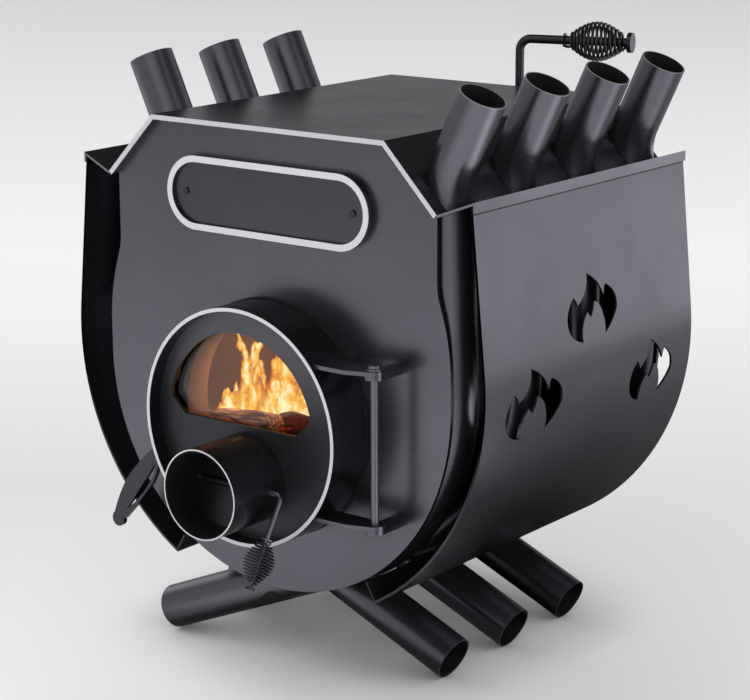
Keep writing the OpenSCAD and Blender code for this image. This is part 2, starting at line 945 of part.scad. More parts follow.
// Middle line of the wire as [angle, radius, height] in order
function spring_path(length, r0, r1, r_mid, wire, curls) =
    let (steps = curls * curl_rings, lead = 2 * wire, rise = length - 2 * lead,
         turn0 = wire / r0 * 180 / PI, turn1 = wire / r1 * 180 / PI, whole = 360 * curls)
    concat(
        [[0, r0, 0]],
        [for (b = [0 : 30 : 60]) [turn0 * (1 - cos(b)), r0, wire * (1 + sin(b))]],
        [for (i = [0 : steps]) let (t = i / steps)
            [turn0 + whole * t, r0 + (r1 - r0) * t + (r_mid - (r0 + r1) / 2) * sin(180 * t),
             lead + rise * t]],
        [for (b = [60 : -30 : 0])
            [turn0 + whole + turn1 * cos(b), r1, length - wire * (1 + sin(b))]],
        [[turn0 + whole + turn1, r1, length]]);

function polar_point(p) = [p[1] * cos(p[0]), p[1] * sin(p[0]), p[2]];
function unit(v) = v / norm(v);

module spring_wire(path, wire) {
    points = [for (p = path) polar_point(p)];
    last = len(points) - 1;
    rings = [for (i = [0 : last])
        let (t = unit(points[min(i + 1, last)] - points[max(i - 1, 0)]),
             out = [cos(path[i][0]), sin(path[i][0]), 0],
             b = unit(cross(t, out)), n = cross(b, t))
        each [for (k = [0 : wire_sides - 1]) let (a = 360 * k / wire_sides)
            points[i] + wire / 2 * (cos(a) * n + sin(a) * b)]];
    walls = [for (i = [0 : last - 1], k = [0 : wire_sides - 1])
        let (a = i * wire_sides + k, b = i * wire_sides + (k + 1) % wire_sides,
             c = a + wire_sides, d = b + wire_sides)
        each [[a, b, d], [a, d, c]]];
    first_end = [for (k = [1 : wire_sides - 2]) [0, k + 1, k]];
    top = last * wire_sides;
    last_end = [for (k = [1 : wire_sides - 2]) [top, top + k, top + k + 1]];
    polyhedron(points = rings, faces = concat(walls, first_end, last_end));
}

// Least distance from the wire's surface to its own next curls
function spring_gap(path, wire) =
    let (points = [for (p = path) polar_point(p)], n = len(points))
    min([for (i = [0 : n - 1], j = [i + curl_rings - 2 : n - 1])
        if (j < n) norm(points[i] - points[j])]) - wire;

throttle_path = spring_path(throttle_spring_len, 7.5, 5.5,
                            throttle_spring_d / 2 - throttle_wire_d / 2, throttle_wire_d,
                            throttle_curls);
damper_path = spring_path(damper_spring_len, damper_rod_d / 2 + 2.5, 10.3,
                          damper_spring_d / 2 - damper_wire_d / 2, damper_wire_d, damper_curls);
echo(throttle_spring_gap = spring_gap(throttle_path, throttle_wire_d));
echo(damper_spring_gap = spring_gap(damper_path, damper_wire_d));

module throttle_spring() {
    color(dark)
        place()
            at_throttle_handle()
                translate([0, 0, -throttle_rod_len - throttle_collar_t])
                    rotate([180, 0, 0])
                        spring_wire(throttle_path, throttle_wire_d);
}

module damper_spring() {
    color(dark)
        place()
            at_damper()
                translate([damper_reach - damper_cap_t - damper_spring_len, 0,
                           hob_z + damper_rise])
                    rotate([0, 90, 0])
                        spring_wire(damper_path, damper_wire_d);
}

// Hinge

hinge_washer_t = 2;
hinge_head_t = 4;
arm_root_x = sqrt(ring_r * ring_r - hinge_half * hinge_half);
arm_front = ring_front + 6;

module hinge_arm_outline() {
    pivot = [hinge_x, hinge_y];
    front = [arm_root_x + 44, arm_front];
    back = [arm_root_x, arm_front + arm_root_w];
    polygon([[0, arm_front], front, tangent_point(front, pivot, hinge_end_r, -1), pivot,
             tangent_point(back, pivot, hinge_end_r, 1), back, [0, back.y]]);
    translate(pivot)
        circle(hinge_end_r);
}

module hinge_arms() {
    color(paint)
        place()
            difference() {
                for (s = [-1, 1])
                    translate([0, 0, door_z + s * hinge_half - hinge_t / 2])
                        linear_extrude(hinge_t)
                            hinge_arm_outline();
                bar_y(0, door_z, ring_front - cut, ring_back - ring_front + 2 * cut, ring_r);
                translate([hinge_x, hinge_y, 0])
                    cylinder(h = hob_z, r = hinge_rod_d / 2 + run_gap);
            }
}

module hinge_lugs() {
    color(paint)
        place()
            for (s = [-1, 1])
                translate([0, 0, door_z + s * hinge_half - hinge_t * 3 / 2 - seat_gap])
                    linear_extrude(hinge_t)
                        difference() {
                            union() {
                                translate([hinge_x, hinge_y])
                                    circle(hinge_end_r);
                                translate([hinge_x - hinge_end_r, hinge_y])
                                    square([2 * hinge_end_r, hinge_out]);
                            }
                            translate([hinge_x, hinge_y])
                                circle(hinge_rod_d / 2);
                        }
}

module hinge_rod() {
    top = door_z + hinge_half + hinge_t / 2 + seat_gap + hinge_washer_t;
    bottom = door_z - hinge_half - hinge_t * 3 / 2 - seat_gap;
    color(steel)
        place()
            translate([hinge_x, hinge_y, bottom]) {
                cylinder(h = top - bottom, r = hinge_rod_d / 2);
                translate([0, 0, top - bottom])
                    cylinder(h = hinge_head_t, r = hinge_rod_d / 2 + 3.5);
            }
}

module hinge_washer() {
    color(steel)
        place()
            translate([hinge_x, hinge_y, door_z + hinge_half + hinge_t / 2 + seat_gap])
                difference() {
                    cylinder(h = hinge_washer_t, r = hinge_end_r - 2);
                    translate([0, 0, -cut])
                        cylinder(h = hinge_washer_t + 2 * cut, r = hinge_rod_d / 2);
                }
}

// Latch

latch_hub_r = latch_boss_d / 2;
boss_front = latch_face + latch_t + seat_gap;
boss_back = cam_front - seat_gap;

// Turns a piece about the latch shaft; the angle grows from straight down to the left
module at_latch(y, angle) {
    translate([-latch_x, y, latch_z])
        rotate([0, angle, 0])
            children();
}

module latch_boss() {
    color(paint)
        place()
            difference() {
                union() {
                    bar_y(-latch_x, latch_z, boss_front, boss_back - boss_front, latch_hub_r);
                    translate([-latch_x, boss_front, latch_z - latch_hub_r + 4])
                        cube([latch_hub_r + 6, boss_back - boss_front, 2 * latch_hub_r - 8]);
                }
                bar_y(0, door_z, ring_front, ring_back - ring_front, ring_r);
                bar_y(-latch_x, latch_z, boss_front - cut, boss_back - boss_front + 2 * cut,
                      latch_shaft_d / 2 + run_gap);
            }
}

module latch_shaft() {
    color(steel)
        place()
            bar_y(-latch_x, latch_z, latch_face, cam_front + cam_t - latch_face,
                  latch_shaft_d / 2);
}

tip_r = 10;
// Distances along the handle: widest places of its two edges, and both ends of its slot
belly_left = 0.57 * latch_len;
belly_right = 0.37 * latch_len;
slot_top = 23;
slot_low = 0.84 * latch_len;

// Leaf-shaped handle with a sickle-shaped slot, hanging down from the shaft
module latch_leaf() {
    left = 1.5 - latch_w / 2;
    right = 1.5 + latch_w / 2;
    difference() {
        union() {
            circle(latch_hub_r);
            translate([1, -latch_len])
                circle(tip_r);
            polygon(outline([[5 - latch_hub_r, -7, 2], [left, -belly_left, 1.6],
                             [1.5 - tip_r, 3 - latch_len, 0], [tip_r, 9 - latch_len, 1],
                             [right, -belly_right, 2.3], [latch_hub_r - 1, -7, 0]]));
        }
        polygon(outline([[8.5, -slot_top, -0.5], [5, -slot_low, 2.7],
                         [right - 4.2, -belly_right, 2.8]]));
        circle(latch_shaft_d / 2);
    }
}

module latch_handle() {
    color("#3d3d3c")
        place()
            at_latch(0, latch_rest)
                along_y(latch_face, latch_t)
                    latch_leaf();
}

cam_tip_r = 6;
// Angle between the handle and the cam, which stands clear above the keeper at rest
cam_rest = 86;

module latch_cam() {
    color(dark)
        place()
            at_latch(0, latch_rest + cam_rest)
                along_y(cam_front, cam_t)
                    difference() {
                        union() {
                            circle(latch_hub_r);
                            translate([-cam_tip_r, -cam_len])
                                square([2 * cam_tip_r, cam_len]);
                            translate([0, -cam_len])
                                circle(cam_tip_r);
                        }
                        circle(latch_shaft_d / 2);
                    }
}

// Hook on the face plate that the cam turns behind
module latch_keeper() {
    post = [-latch_x - cam_len - cam_tip_r - 1, latch_z - 16];
    post_w = 8;
    lip_reach = 13;
    keeper_h = 14;
    lip_front = cam_front - seat_gap - keeper_lip_t;
    color(paint)
        place()
            translate([post.x - post_w, 0, post.y]) {
                translate([0, lip_front, 0])
                    cube([post_w, face_y - lip_front, keeper_h]);
                translate([0, lip_front, 0])
                    cube([post_w + lip_reach, keeper_lip_t, keeper_h]);
            }
}

// Flue spigot and its damper

module flue_spigot() {
    inner_end = back_y - plate_t - 5;
    color(paint)
        place()
            difference() {
                bar_y(0, flue_z, inner_end, flue_end - inner_end, flue_r);
                bar_y(0, flue_z, inner_end - cut, flue_end - inner_end + 2 * cut,
                      flue_r - flue_wall);
                difference() {
                    bar_y(0, flue_z, flue_end - flue_grip - flue_groove_w, flue_groove_w,
                          flue_r + cut);
                    bar_y(0, flue_z, inner_end, flue_end - inner_end,
                          flue_r - flue_groove_depth);
                }
                translate([0, damper_y, flue_z - flue_r - cut])
                    cylinder(h = flue_od + 2 * cut, r = damper_rod_d / 2 + run_gap);
            }
}

damper_boss_r = 10;
damper_boss_end = flue_r + 7;

module damper_bosses() {
    color(dark)
        place()
            difference() {
                translate([0, damper_y, flue_z - damper_boss_end])
                    cylinder(h = 2 * damper_boss_end, r = damper_boss_r);
                bar_y(0, flue_z, back_y, flue_len, flue_r + run_gap);
                translate([0, damper_y, flue_z - 2 * flue_r])
                    cylinder(h = 4 * flue_r, r = damper_rod_d / 2 + run_gap);
            }
}

// Puts a piece in the damper's own frame: its z up the rod, its x along the handle
module at_damper() {
    translate([0, damper_y, 0])
        rotate([0, 0, damper_rest])
            children();
}

module damper_disc() {
    disc_r = flue_r - flue_wall - 1.5;
    hub = 2 * (disc_r - hub_short);
    color(dark)
        place()
            at_damper()
                difference() {
                    union() {
                        bar_y(0, flue_z, -damper_disc_t / 2, damper_disc_t, disc_r);
                        translate([0, 0, flue_z - hub / 2])
                            cylinder(h = hub, r = damper_rod_d / 2 + 3);
                    }
                    translate([0, 0, flue_z - flue_r])
                        cylinder(h = 2 * flue_r, r = damper_rod_d / 2);
                }
}

damper_elbow_r = 16;
damper_collar_t = 2;
damper_cap_t = 6;
damper_cap_r = 13.5;

module damper_lever() {
    rod_r = damper_rod_d / 2;
    bottom = flue_z - damper_boss_end - 2;
    elbow = damper_elbow_r;
    top = hob_z + damper_rise;
    color(steel)
        place()
            at_damper() {
                translate([0, 0, bottom])
                    cylinder(h = top - elbow - bottom, r = rod_r);
                translate([elbow, 0, top - elbow])
                    rotate([90, 0, 0])
                        rotate([0, 0, 90])
                            rotate_extrude(angle = 90)
                                translate([elbow, 0])
                                    circle(rod_r);
                bar_x(0, top, elbow, damper_reach - damper_cap_t - elbow, rod_r);
                bar_x(0, top, damper_reach - damper_cap_t - damper_spring_len - damper_collar_t,
                      damper_collar_t, rod_r + 3.5);
            }
}

module damper_cap() {
    color(steel)
        place()
            at_damper()
                bar_x(0, hob_z + damper_rise, damper_reach - damper_cap_t, damper_cap_t,
                      damper_cap_r);
}

// Nameplate over the door

badge_screw_r = 2.5;
badge_head_r = 4.5;
badge_head_t = 2;

module badge_outline(w, h) {
    run = (w - h) / 2;
    translate([-run, -h / 2])
        square([2 * run, h]);
    for (s = [-1, 1])
        translate([s * run, 0])
            circle(h / 2);
}

module nameplate() {
    color(paint)
        place()
            difference() {
                translate([0, 0, hob_z - badge_drop])
                    along_y(face_y - badge_t, badge_t)
                        badge_outline(badge_w, badge_h);
                for (s = [-1, 1])
                    bar_y(s * badge_screw_gap / 2, hob_z - badge_drop, face_y - badge_t - cut,
                          badge_t + 2 * cut, badge_screw_r);
            }
}

module nameplate_rim() {
    color(edge)
        place()
            translate([0, 0, hob_z - badge_drop])
                along_y(face_y - badge_t - rim_t, rim_t)
                    difference() {
                        badge_outline(badge_w, badge_h);
                        badge_outline(badge_w - 2 * rim_w, badge_h - 2 * rim_w);
                    }
}

module nameplate_screws() {
    color(steel)
        place()
            for (s = [-1, 1]) {
                bar_y(s * badge_screw_gap / 2, hob_z - badge_drop, face_y - badge_t,
                      badge_t + plate_t, badge_screw_r - run_gap);
                bar_y(s * badge_screw_gap / 2, hob_z - badge_drop,
                      face_y - badge_t - badge_head_t, badge_head_t, badge_head_r);
            }
}

convection_tube(0);  // convection_tube_1
convection_tube(1);  // convection_tube_2
convection_tube(2);  // convection_tube_3
convection_tube(3);  // convection_tube_4
convection_tube(4);  // convection_tube_5
convection_tube(5);  // convection_tube_6
convection_tube(6);  // convection_tube_7
firebox_shell();
face_plate();
back_plate();
hob_plate();
roof_slope(-1);  // roof_slope_left
roof_slope(1);  // roof_slope_right
gutter_shelf(-1);  // gutter_shelf_left
gutter_shelf(1);  // gutter_shelf_right
casing(-1);  // casing_left
casing(1);  // casing_right
casing_strip(-1);  // casing_strip_left
casing_strip(1);  // casing_strip_right
baffle_plate();
door_collar();
rope_seal();
door_ring();
door_plate();
window_glass();
window_gasket();
window_clips();
clip_screws();
intake_pipe();
throttle_bosses();
throttle_disc();
throttle_lever();
throttle_spring();
throttle_cap();
hinge_arms();
hinge_lugs();
hinge_rod();
hinge_washer();
latch_boss();
latch_shaft();
latch_handle();
latch_cam();
latch_keeper();
flue_spigot();
damper_bosses();
damper_disc();
damper_lever();
damper_spring();
damper_cap();
nameplate();
nameplate_rim();
nameplate_screws();
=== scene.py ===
import math
import random

import bmesh
import bpy
from mathutils import Matrix, Vector


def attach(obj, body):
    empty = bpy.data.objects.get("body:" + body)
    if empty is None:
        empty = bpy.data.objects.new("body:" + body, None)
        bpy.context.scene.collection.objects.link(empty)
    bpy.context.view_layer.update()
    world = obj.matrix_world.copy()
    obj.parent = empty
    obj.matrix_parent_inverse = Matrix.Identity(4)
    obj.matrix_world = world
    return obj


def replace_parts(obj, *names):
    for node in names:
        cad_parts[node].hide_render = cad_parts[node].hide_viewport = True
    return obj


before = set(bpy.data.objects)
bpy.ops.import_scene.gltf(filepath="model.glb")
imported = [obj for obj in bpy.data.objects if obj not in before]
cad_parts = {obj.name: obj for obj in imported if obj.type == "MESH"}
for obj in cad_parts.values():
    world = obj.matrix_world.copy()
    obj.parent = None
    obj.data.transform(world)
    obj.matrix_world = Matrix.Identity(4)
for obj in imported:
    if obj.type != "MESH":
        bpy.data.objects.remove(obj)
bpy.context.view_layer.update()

MM = 0.001
# The drawing counts y from the roof's front edge, and the row frame counts it from the stove's middle
MID_Y = 237.0


def row(x, y, z):
    """A place in the drawing's millimetres as metres in the row frame: x right, y back, z up from the floor."""
    return Vector((x * MM, (y - MID_Y) * MM, z * MM))


# Camera: the photograph's own view, solved as a perspective picture

AZIMUTH, ELEVATION, ROLL = map(math.radians, (37.57, 13.95, -0.17))
FOCAL_PX, PICTURE_PX, SENSOR_MM = 2291.0, 750.0, 36.0
CAMERA_AT = row(1750.45, -2058.50, 1083.63)


def photo_camera():
    level = math.cos(ELEVATION)
    back = Vector((math.sin(AZIMUTH) * level, -math.cos(AZIMUTH) * level, math.sin(ELEVATION)))
    right = (-back).cross(Vector((0, 0, 1))).normalized()
    up = back.cross(right)
    right, up = (math.cos(ROLL) * right + math.sin(ROLL) * up, math.cos(ROLL) * up - math.sin(ROLL) * right)
    data = bpy.data.cameras.new("photo_camera")
    data.lens = FOCAL_PX / PICTURE_PX * SENSOR_MM
    data.sensor_width = SENSOR_MM
    data.clip_end = 50
    camera = bpy.data.objects.new("photo_camera", data)
    bpy.context.scene.collection.objects.link(camera)
    camera.matrix_world = Matrix.Translation(CAMERA_AT) @ Matrix((right, up, back)).transposed().to_4x4()
    return camera


bpy.context.scene.camera = photo_camera()
bpy.context.scene.view_settings.view_transform = "Standard"


# Colours and node trees

def colour(text, factor=1.0):
    """A hex sRGB colour as linear values, times a factor, with alpha."""
    parts = [int(text[i:i + 2], 16) / 255 for i in (1, 3, 5)]
    return [factor * (c / 12.92 if c <= 0.04045 else ((c + 0.055) / 1.055) ** 2.4) for c in parts] + [1.0]


class Nodes:
    """The node tree of one material or of the world, emptied at the start.

    at is the place on a piece in Object coordinates, which here are the row frame in metres, or the direction
    of the sky.
    """

    def __init__(self, owner, output="OutputMaterial", coordinates="Object"):
        owner.use_nodes = True
        self.owner, self.tree = owner, owner.node_tree
        self.tree.nodes.clear()
        self.output = self.tree.nodes.new("ShaderNode" + output)
        self.at = self.add("TexCoord", out=coordinates)

    def add(self, kind, inputs=(), out=0, **settings):
        """Add a node with its settings, feed its inputs by order or by name, and give one of its outputs."""
        made = self.tree.nodes.new("ShaderNode" + kind)
        for key, value in settings.items():
            setattr(made, key, value)
        for key, value in inputs.items() if isinstance(inputs, dict) else enumerate(inputs):
            if isinstance(value, bpy.types.NodeSocket):
                self.tree.links.new(value, made.inputs[key])
            else:
                made.inputs[key].default_value = value
        return made.outputs[out]

    def close(self, shader):
        """Make the shader the surface, and give back the material or the world."""
        self.tree.links.new(shader, self.output.inputs["Surface"])
        return self.owner


def material(name):
    return Nodes(bpy.data.materials.new(name))


# Real sizes of the patterns, in millimetres: sprayed film, its gloss, its orange peel, and file marks on cut edges
FILM, FILM_GLOSS, ORANGE_PEEL, FILE_MARKS = 160, 60, 0.9, 0.8
# A noise's usual low and high values
LOW, HIGH = 0.3, 0.7
# Shares of the tone where the film lies thick and where the file has been
THICK_FILM, FILED = 1.12, 0.86
# Roughness of bare cut faces and of the painted shade inside bores; tones of the painted shade inside bores and just
# under the shelf lips
CUT_ROUGH, BORE_SHADE_ROUGH = 0.42, 0.75
BORE_SHADE_TONE, LIP_SHADE_TONE = "#0c0c0d", "#1c1c1e"
# Heights in metres between which the painted light and shade on edges near the floor gives way
LOW_EDGE_FROM, LOW_EDGE_TO = 0.22, 0.34


def beyond(t, planes):
    """1 where the point lies beyond any of the planes, each given as (direction, distance in metres)."""
    mask = None
    for direction, distance in planes:
        along = t.add("VectorMath", (t.at, direction), out="Value", operation="DOT_PRODUCT")
        past = t.add("Math", (along, distance), operation="GREATER_THAN")
        mask = past if mask is None else t.add("Math", (mask, past), operation="MAXIMUM")
    return mask


def painted(name, tone="#5f5f65", rough=0.27, metal=0.85, planes=(), edge="#c9c9ca", edge_level=0.5,
            painted_low_edge=None, bore=None, lip_shade=None, painted_light_above=None):
    """Satin heat-proof paint with metal flake, sprayed fine, with bare cut edges beyond the given planes.

    bore gives, for a tree, 1 on the inside of a pipe, painted near-black and dull as shade, which also takes the
    inner half of its cut edge.
    Above a given lip height in millimetres the sheet is painted dark, as the shade just under its neighbour's lip.
    A paler tone given for the upper part is painted light, taking over between the given heights in metres.
    A colour given for the edge near the floor is painted light on the casings and painted shade on the tube mouths.
    """
    t = material(name)
    level = 0.5
    height = t.add("SeparateXYZ", (t.at,), out="Z")
    film = t.add("MapRange", (t.add("TexNoise", {"Vector": t.at, "Scale": 1000 / FILM, "Detail": 3}), LOW, HIGH))
    base = t.add("Mix", {0: film, 6: colour(tone), 7: colour(tone, THICK_FILM)}, out=2, data_type="RGBA")
    # Painted light: a paler tone over the upper part
    if painted_light_above:
        pale, low, high = painted_light_above
        rise = t.add("MapRange", (height, low, high))
        base = t.add("Mix", {0: rise, 6: base, 7: colour(pale)}, out=2, data_type="RGBA")
    shine = t.add("TexNoise", {"Vector": t.at, "Scale": 1000 / FILM_GLOSS, "Detail": 3})
    gloss = t.add("MapRange", (shine, LOW, HIGH, rough - 0.02, rough + 0.03))
    peel = t.add("TexNoise", {"Vector": t.at, "Scale": 1000 / ORANGE_PEEL, "Detail": 2})
    if planes:
        cut = beyond(t, planes)
        upright = t.add("Mapping", {"Vector": t.at, "Scale": (1, 1, 0.15)})
        marks = t.add("MapRange", (t.add("TexNoise", {"Vector": upright, "Scale": 1000 / FILE_MARKS, "Detail": 2}),
                                   LOW, HIGH))
        bare = t.add("Mix", {0: marks, 6: colour(edge), 7: colour(edge, FILED)}, out=2, data_type="RGBA")
        # The edge's colour near the floor: painted light on the casings, painted shade on the tube mouths
        if painted_low_edge:
            off_floor = t.add("MapRange", (height, LOW_EDGE_FROM, LOW_EDGE_TO))
            bare = t.add("Mix", {0: off_floor, 6: colour(painted_low_edge), 7: bare}, out=2, data_type="RGBA")
        base = t.add("Mix", {0: cut, 6: base, 7: bare}, out=2, data_type="RGBA")
        gloss = t.add("MapRange", (cut, 0, 1, gloss, CUT_ROUGH))
        metal = t.add("MapRange", (cut, 0, 1, metal, 0))
        level = t.add("MapRange", (cut, 0, 1, 0.5, edge_level))
    # Painted shade just under the neighbour's lip
    if lip_shade:
        under_lip_shade = t.add("Math", (height, lip_shade * MM), operation="GREATER_THAN")
        base = t.add("Mix", {0: under_lip_shade, 6: base, 7: colour(LIP_SHADE_TONE)}, out=2, data_type="RGBA")
    # The inside of a pipe, painted near-black and dull as shade
    if bore:
        inside = bore(t)
        base = t.add("Mix", {0: inside, 6: base, 7: colour(BORE_SHADE_TONE)}, out=2, data_type="RGBA")
        gloss = t.add("MapRange", (inside, 0, 1, gloss, BORE_SHADE_ROUGH))
        metal = t.add("MapRange", (inside, 0, 1, metal, 0))
    return t.close(t.add("BsdfPrincipled", {
        "Base Color": base, "Roughness": gloss, "Metallic": metal, "Specular IOR Level": level,
        "Normal": t.add("Bump", {"Height": peel, "Strength": 0.1, "Distance": 0.06 * MM})}))


def plain(name, tone, rough, metal=0.0, grain=3.0, depth=0.08):
    """One finish with a little uneven gloss; grain is the unevenness's size in millimetres and depth its contrast."""
    t = material(name)
    spots = t.add("TexNoise", {"Vector": t.at, "Scale": 1000 / grain, "Detail": 3})
    spread = t.add("MapRange", (spots, LOW, HIGH))
    base = t.add("Mix", {0: spread, 6: colour(tone), 7: colour(tone, 1 + depth)}, out=2, data_type="RGBA")
    return t.close(t.add("BsdfPrincipled", {
        "Base Color": base, "Roughness": t.add("MapRange", (spots, LOW, HIGH, rough - 0.03, rough + 0.03)),
        "Metallic": metal, "Normal": t.add("Bump", {"Height": spots, "Strength": 0.08, "Distance": 0.05 * MM})}))


# Places from the drawing, in millimetres. A bare cut face reaches a hair's breadth round its edges
HAIR = 0.35
ROOF_REAR, CASING_FRONT, SPIGOT_END, RIM_SIDE = 490, 6.5, 601, 1
RING_FRONT, INTAKE_FRONT = -56, -127
INTAKE_Z, INTAKE_BORE_R = 261, 54.2
# The gutter shelves' front ends slant back by the first over the second, out to the shoulder
SHELF_SKEW, SHOULDER_X, SHELF_MARGIN = 6.5 / 51, 255, 0.4
# Height above which the casings are painted dark as the shade just under the lips of the gutter shelves
LIP_SHADE_Z = 611.4
LEAN, SLOPE = math.radians(25), math.radians(23)
TUBE_R, TUBE_WALL, TUBE_PITCH, FIRST_TUBE_Y = 28.5, 3.0, 66.0, 48.0
BEND_R, BEND_Z, MOUTH_X, MOUTH_Z, LEG = 248.0, 381.0, 284.0, 740.0, 323.7
FOOT_X = BEND_R * math.sin(SLOPE) - LEG * math.cos(SLOPE)
FOOT_Z = BEND_Z - BEND_R * math.cos(SLOPE) - LEG * math.sin(SLOPE)
# The painted shade inside a bore reaches over this share of the wall
BORE_SHADE_SHARE = 0.55


def in_front_of(y):
    return ((0, -1, 0), -(y + HAIR - MID_Y) * MM)


def behind_of(y):
    return ((0, 1, 0), (y - HAIR - MID_Y) * MM)


def tube_mouths(side):
    """Middle and outward direction of the two mouths of a tube that turns to this side."""
    return ((Vector((side * MOUTH_X, 0, MOUTH_Z)), Vector((side * math.sin(LEAN), 0, math.cos(LEAN)))),
            (Vector((side * FOOT_X, 0, FOOT_Z)), Vector((-side * math.cos(SLOPE), 0, -math.sin(SLOPE)))))


def tube_ends(side):
    return [(tuple(way), (way.dot(middle) - HAIR) * MM) for middle, way in tube_mouths(side)]


def tube_bores(side):
    """Insides of the straight ends of all tubes that turn to this side."""
    first = FIRST_TUBE_Y + (0 if side > 0 else TUBE_PITCH)
    limit = (TUBE_R - BORE_SHADE_SHARE * TUBE_WALL) * MM

    def mask(t):
        y = t.add("SeparateXYZ", (t.at,), out="Y")
        y = t.add("Math", (y, (first - TUBE_PITCH - MID_Y) * MM), operation="SUBTRACT")
        y = t.add("Math", (y, 2 * TUBE_PITCH * MM), operation="FLOORED_MODULO")
        y = t.add("Math", (y, TUBE_PITCH * MM), operation="SUBTRACT")
        square = t.add("Math", (y, y), operation="MULTIPLY")
        found = None
        for middle, way in tube_mouths(side):
            across = Vector((way.z, 0, -way.x))
            off = t.add("VectorMath", (t.at, across), out="Value", operation="DOT_PRODUCT")
            off = t.add("Math", (off, across.dot(middle) * MM), operation="SUBTRACT")
            squares = t.add("Math", (off, off, square), operation="MULTIPLY_ADD")
            near = t.add("Math", (squares, limit ** 2), operation="LESS_THAN")
            found = near if found is None else t.add("Math", (found, near), operation="MAXIMUM")
        return found
    return mask


def intake_bore(t):
    """Inside of the intake pipe, which runs from front to back."""
    off = t.add("VectorMath", (t.at, (1, 0, 1), (0, 0, -INTAKE_Z * MM)), operation="MULTIPLY_ADD")
    away = t.add("VectorMath", (off,), out="Value", operation="LENGTH")
    return t.add("Math", (away, INTAKE_BORE_R * MM), operation="LESS_THAN")


# Satin anthracite heat-proof paint on the big plates: soft wide reflections, nearly neutral
paint_plain = painted("satin_anthracite_paint")
# The same paint with the bare cut front and rear ends of the roof plates, which draw a bright line
paint_roof = painted("satin_paint_roof_plates", planes=(in_front_of(0), behind_of(ROOF_REAR)), edge="#ededee")
# The gutter shelves, with dull slanted front ends
paint_shelf = painted("satin_paint_gutter_shelves", edge="#77777a", planes=[
    ((s * SHELF_SKEW, -1, 0), (MID_Y + SHELF_SKEW * SHOULDER_X - SHELF_MARGIN) * MM) for s in (1, -1)])
# The nameplate in the same paint, a shade darker than the plates round it
paint_nameplate = painted("satin_paint_nameplate", tone="#4e4e53")
# The strips along the casings' lower edges, painted dark and dull as the shade in the gap between the face plate and
# the casings
strip_shade_paint = painted("edge_strips_painted_shade", tone="#18181a", rough=0.6, metal=0.0)
# Casing sheet, whose thin front edges are painted near-black without shine as shade, with a painted highlight on them
# near the floor, and painted shade along the top just under the gutter shelves' lips
paint_casing = painted("satin_paint_casings", planes=(in_front_of(CASING_FRONT),), edge="#060606", edge_level=0.0,
                       painted_low_edge="#5a5a5d", lip_shade=LIP_SHADE_Z)
# Door ring with its turned bright face
paint_ring = painted("satin_paint_door_ring", tone="#47474c", planes=(in_front_of(RING_FRONT),), edge="#fbfbfb")
# The door's recessed plate, a darker and flatter coat, painted paler towards the top as light
paint_door = painted("satin_paint_door_plate", tone="#343438", rough=0.42, metal=0.6,
                     painted_light_above=("#57575b", 0.335, 0.425))
# Intake pipe with its bright mouth, and its inside painted near-black as shade
paint_pipe = painted("satin_paint_intake_pipe", tone="#54545a", planes=(in_front_of(INTAKE_FRONT),), edge="#fbfbfb",
                     bore=intake_bore)
# Flue spigot with its dull end
paint_spigot = painted("satin_paint_flue_spigot", planes=(behind_of(SPIGOT_END),), edge="#8d8d90")
# Bent tubes, with bright bare mouths at the top, mouths near the floor painted darker as shade, and insides painted
# near-black as shade
paint_tube = {s: painted("satin_paint_tubes_" + n, planes=tube_ends(s), edge="#b4b4b6", painted_low_edge="#4c4c4f",
                         bore=tube_bores(s))
              for s, n in ((1, "right"), (-1, "left"))}
# The nameplate's raised rim: bright face on painted sides
paint_rim = painted("bright_nameplate_rim", planes=(in_front_of(RIM_SIDE),), edge="#fdfdfd")
# Sooty steel inside the firebox, which the fire tints
soot = plain("sooty_firebox_steel", "#2c2827", 0.8, grain=12)
# Bare rods, washers and screws: dull grey metal
bare_steel = plain("dulled_bare_steel", "#6c6c70", 0.36, metal=0.9)
# Blackened handles, springs and cranks: dark metal with a narrow shine
black_steel = plain("blackened_steel", "#3e3e42", 0.3, metal=0.8)
# Woven tape and braided rope, without shine
tape = plain("glass_fibre_tape", "#3a3835", 0.9, grain=1.2, depth=0.4)
rope = plain("braided_rope_seal", "#161616", 0.95, grain=2.5, depth=0.5)


def ceramic_glass():
    """Clear ceramic glass: the fire shows through with a faint warm tint, under a weak mirror image of the studio."""
    t = material("ceramic_glass")
    clear = t.add("BsdfTransparent", {"Color": colour("#fff4e6")})
    shine = t.add("BsdfGlossy", {"Color": colour("#ffffff"), "Roughness": 0.03})
    pane = t.add("MixShader", (t.add("Fresnel", {"IOR": 1.25}), clear, shine))
    # Straight views pass; scattered light stops here, so that the fire doesn't tint the outside
    shadow, diffuse = (t.add("LightPath", out=kind) for kind in ("Is Shadow Ray", "Is Diffuse Ray"))
    scattered = t.add("Math", (shadow, diffuse), operation="MAXIMUM")
    dark = t.add("BsdfTransparent", {"Color": colour("#000000")})
    return t.close(t.add("MixShader", (scattered, pane, dark)))


